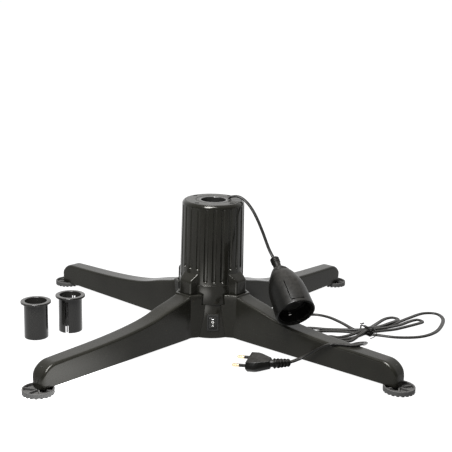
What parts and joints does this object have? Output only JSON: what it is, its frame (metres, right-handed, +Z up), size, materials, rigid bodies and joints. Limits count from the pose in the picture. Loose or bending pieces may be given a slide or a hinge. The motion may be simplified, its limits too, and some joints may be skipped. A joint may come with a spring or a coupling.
{
  "type": "rotating tree stand",
  "caption": "Turning stand for a small artificial tree: fluted drum on plug-in legs, switch, mains lead with plug, turning lead with socket, and loose pole adapters.",
  "frame": {"origin": "on the turning axis, at floor level below the base", "axes": "+Z up along the turning axis, -Y towards the switch, the legs on the diagonals, +X towards the side where both leads leave"},
  "size_m": [0.5759, 0.4442, 0.1838],
  "materials": {
    "housing_plastic": "satin",
    "cover_plastic": "gloss",
    "foot_rubber": "matte",
    "screw_steel": "brushed",
    "black_screw": "satin",
    "motor_steel": "satin",
    "gear_plastic": "satin",
    "bush_bronze": "satin",
    "contact_brass": "polished",
    "holder_plastic": "matte",
    "brush_carbon": "matte",
    "switch_plastic": "satin",
    "lead_jacket": "satin",
    "connector_plastic": "satin",
    "adapter_plastic": "satin"
  },
  "bodies": {
    "stand": {"base_hub": "housing_plastic", "base_plate": "housing_plastic", "base_screws": "screw_steel", "drum_housing": "housing_plastic", "top_cover": "cover_plastic", "cover_screws": "black_screw", "leg_front_right": "housing_plastic", "leg_rear_right": "housing_plastic", "leg_rear_left": "housing_plastic", "leg_front_left": "housing_plastic", "foot_front_right": "foot_rubber", "foot_rear_right": "foot_rubber", "foot_rear_left": "foot_rubber", "foot_front_left": "foot_rubber", "foot_screws": "screw_steel", "motor_deck": "screw_steel", "motor_can": "motor_steel", "motor_screws": "screw_steel", "lower_bush": "bush_bronze", "thrust_washer": "gear_plastic", "upper_bush": "gear_plastic", "brush_holder": "holder_plastic", "contact_brushes": "brush_carbon", "brush_springs": "screw_steel", "switch_frame": "switch_plastic", "switch_terminals": "contact_brass", "mains_gland": "lead_jacket", "mains_lead": "lead_jacket", "lead_tie": "lead_jacket", "plug_relief": "lead_jacket", "plug_body": "connector_plastic", "pin_sleeves": "connector_plastic", "plug_pins": "contact_brass", "adapter_plain": "adapter_plastic", "adapter_split": "adapter_plastic"},
    "turning sleeve": {"tree_sleeve": "cover_plastic", "sleeve_collar": "cover_plastic", "sleeve_gear": "gear_plastic", "slip_ring_carrier": "gear_plastic", "slip_rings": "contact_brass", "socket_lead": "lead_jacket", "lead_grommet": "lead_jacket", "coupling_relief": "lead_jacket", "coupling_body": "connector_plastic", "coupling_insert": "connector_plastic", "coupling_contacts": "contact_brass"},
    "motor shaft": {"motor_shaft": "screw_steel", "drive_pinion": "gear_plastic"},
    "rocker": {"switch_rocker": "switch_plastic"}
  },
  "joints": [
    {"name": "sleeve_spin", "type": "hinge", "parent": "stand", "child": "turning sleeve", "pos_m": [0, 0, 0], "axis": [0, 0, 1], "continuous": true},
    {"name": "motor_spin", "type": "hinge", "parent": "stand", "child": "motor shaft", "pos_m": [0, 0.0175, 0], "axis": [0, 0, 1], "continuous": true},
    {"name": "rocker_tilt", "type": "hinge", "parent": "stand", "child": "rocker", "pos_m": [0, -0.0391, 0.0243], "axis": [1, 0, 0], "range_deg": [-8, 8]}
  ],
  "couplings": [
    {"joint": "motor_spin", "follows": "sleeve_spin", "ratio": -2.1818}
  ]
}
